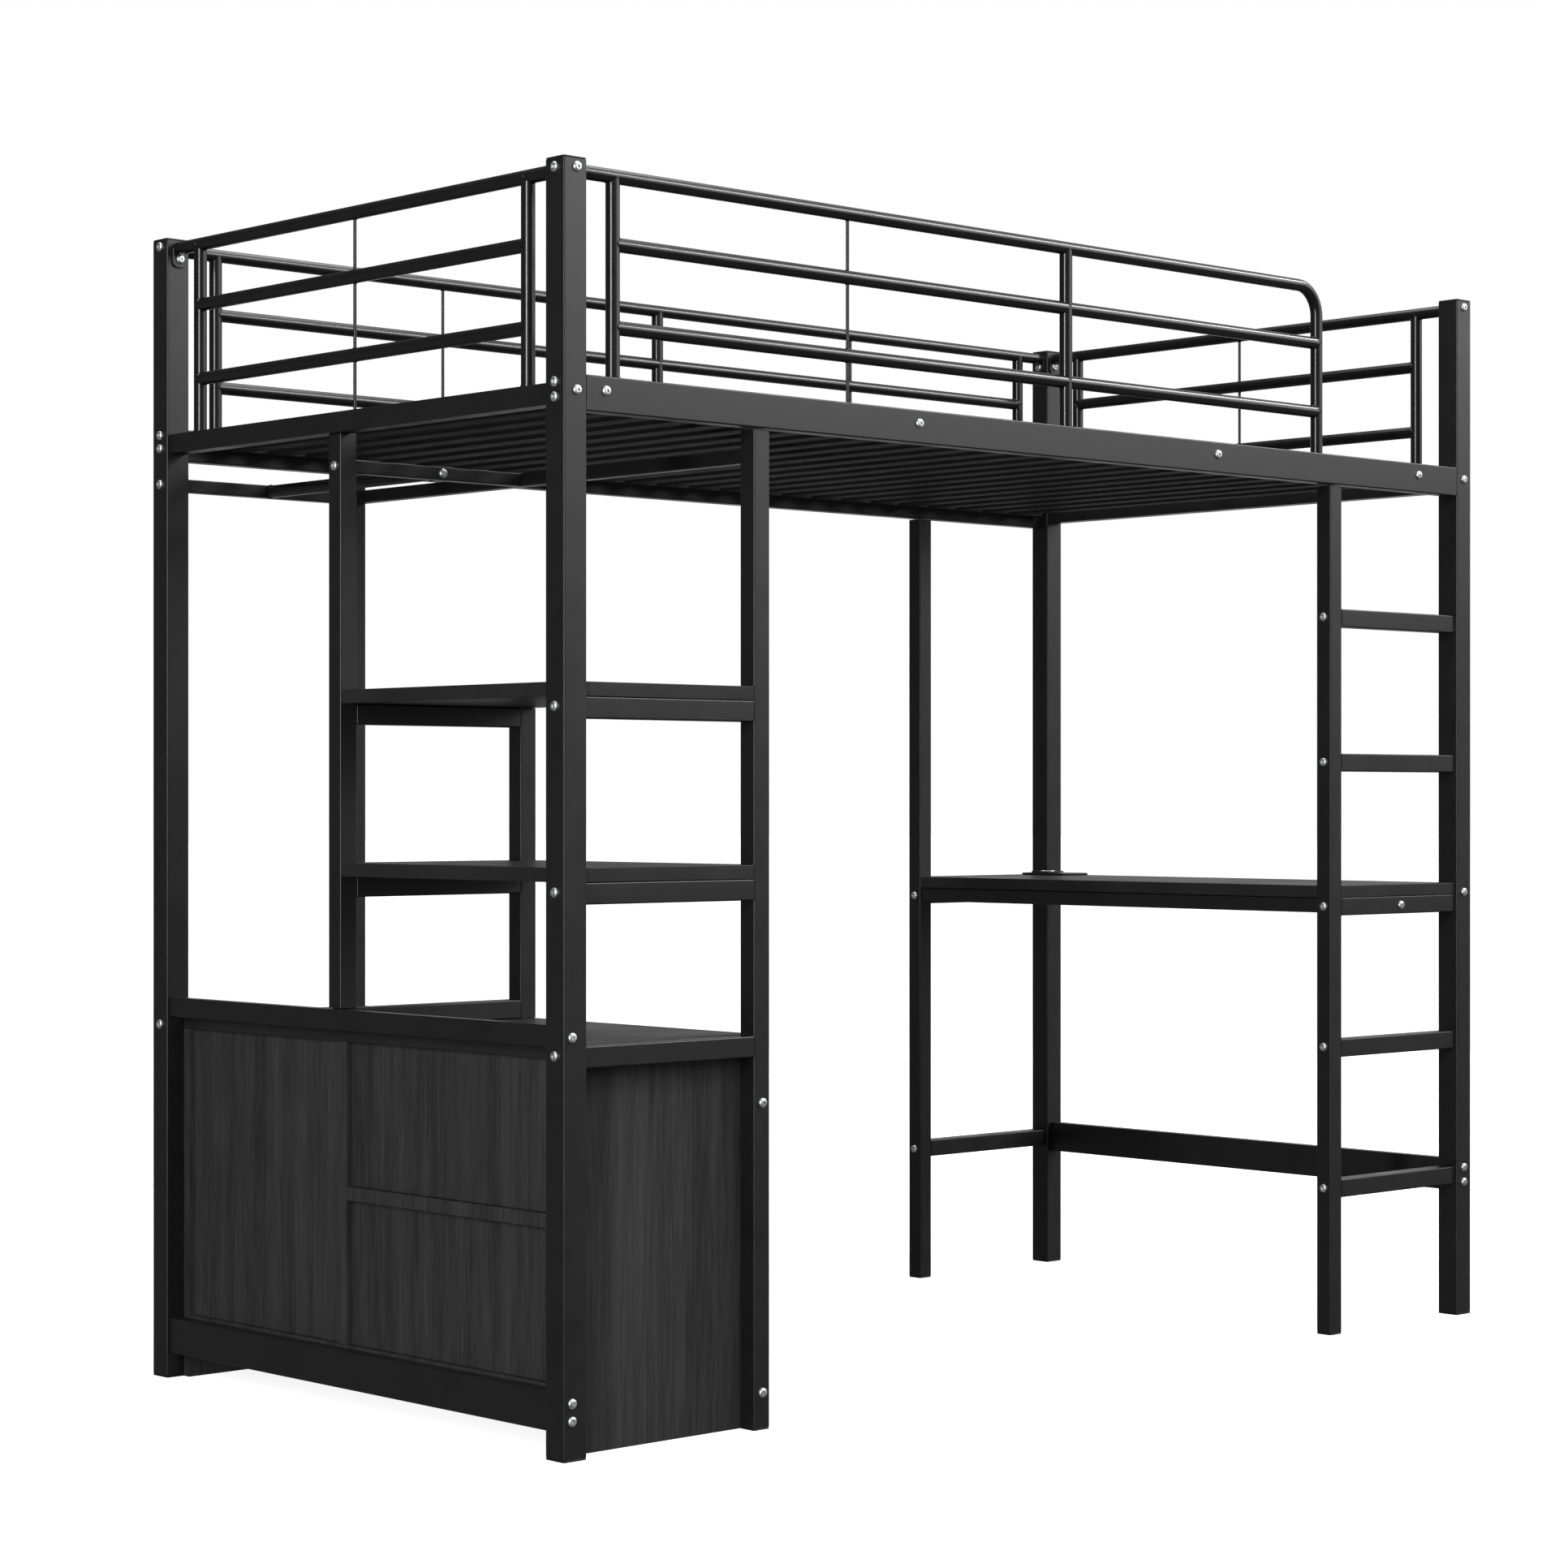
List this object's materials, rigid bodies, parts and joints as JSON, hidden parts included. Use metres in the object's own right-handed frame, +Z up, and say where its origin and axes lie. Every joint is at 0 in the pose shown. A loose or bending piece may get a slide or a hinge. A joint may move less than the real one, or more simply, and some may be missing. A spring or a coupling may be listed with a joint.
{
  "type": "loft bed with desk",
  "caption": "High steel-tube bed with guards and a ladder, over a desk at one end and a wardrobe with open shelves and a drawer cabinet at the other.",
  "frame": {"origin": "on the floor, under the middle of the bed's outline", "axes": "+X towards the desk end, along the bed; +Y towards the wall side, away from the ladder; +Z up"},
  "size_m": [2.0408, 1.0032, 1.76],
  "materials": {
    "frame_steel": "satin black powder coat",
    "panel_board": "matt black melamine board with a fine upright grain",
    "worktop_board": "smooth matt black melamine board",
    "handle_metal": "satin black powder coat",
    "station_plastic": "moulded black plastic"
  },
  "bodies": {
    "frame": {"post_front_left": "frame_steel", "post_back_left": "frame_steel", "post_front_right": "frame_steel", "post_back_right": "frame_steel", "wardrobe_post_front": "frame_steel", "wardrobe_post_back": "frame_steel", "ladder_post": "frame_steel", "desk_post_back": "frame_steel", "shelf_post_outer": "frame_steel", "shelf_post_inner": "frame_steel", "side_rail_front": "frame_steel", "side_rail_back": "frame_steel", "end_rail_left": "frame_steel", "end_rail_right": "frame_steel", "slat_deck": "frame_steel", "guard_front": "frame_steel", "guard_back": "frame_steel", "guard_left": "frame_steel", "guard_right": "frame_steel", "wardrobe_rail_back": "frame_steel", "wardrobe_rail_mid": "frame_steel", "wardrobe_rail_inner": "frame_steel", "hanging_rod": "frame_steel", "shelf_rail_upper_front": "frame_steel", "shelf_rail_upper_mid": "frame_steel", "shelf_rail_lower_front": "frame_steel", "shelf_rail_lower_mid": "frame_steel", "cabinet_rail_front": "frame_steel", "cabinet_rail_back": "frame_steel", "cabinet_rail_end": "frame_steel", "cabinet_skirt_rail": "frame_steel", "desk_rail_front": "frame_steel", "desk_rail_back": "frame_steel", "desk_rail_inner": "frame_steel", "desk_rail_end": "frame_steel", "low_rail_end": "frame_steel", "low_rail_back": "frame_steel", "ladder_rung_1": "frame_steel", "ladder_rung_2": "frame_steel", "ladder_rung_3": "frame_steel", "ladder_rung_4": "frame_steel", "shelf_board_upper": "worktop_board", "shelf_board_lower": "worktop_board", "cabinet_top": "worktop_board", "desk_board": "worktop_board", "cabinet_side_front": "panel_board", "cabinet_side_back": "panel_board", "cabinet_bottom": "panel_board", "cabinet_divider": "panel_board", "cabinet_drawer_shelf": "panel_board", "cabinet_back_tall": "panel_board", "cabinet_back_upper": "panel_board", "cabinet_back_lower": "panel_board", "power_station": "station_plastic"},
    "door": {"cabinet_door": "panel_board", "door_handle": "handle_metal"},
    "drawer_upper": {"drawer_upper": "panel_board", "drawer_upper_handle": "handle_metal"},
    "drawer_lower": {"drawer_lower": "panel_board", "drawer_lower_handle": "handle_metal"}
  },
  "joints": [
    {"name": "door_hinge", "type": "hinge", "parent": "frame", "child": "door", "pos_m": [-0.635, 0.4456, 0.317], "axis": [0, 0, 1], "range_deg": [0, 95]},
    {"name": "drawer_upper_slide", "type": "slide", "parent": "frame", "child": "drawer_upper", "axis": [1, 0, 0], "range_m": [0, 0.27]},
    {"name": "drawer_lower_slide", "type": "slide", "parent": "frame", "child": "drawer_lower", "axis": [1, 0, 0], "range_m": [0, 0.27]}
  ]
}
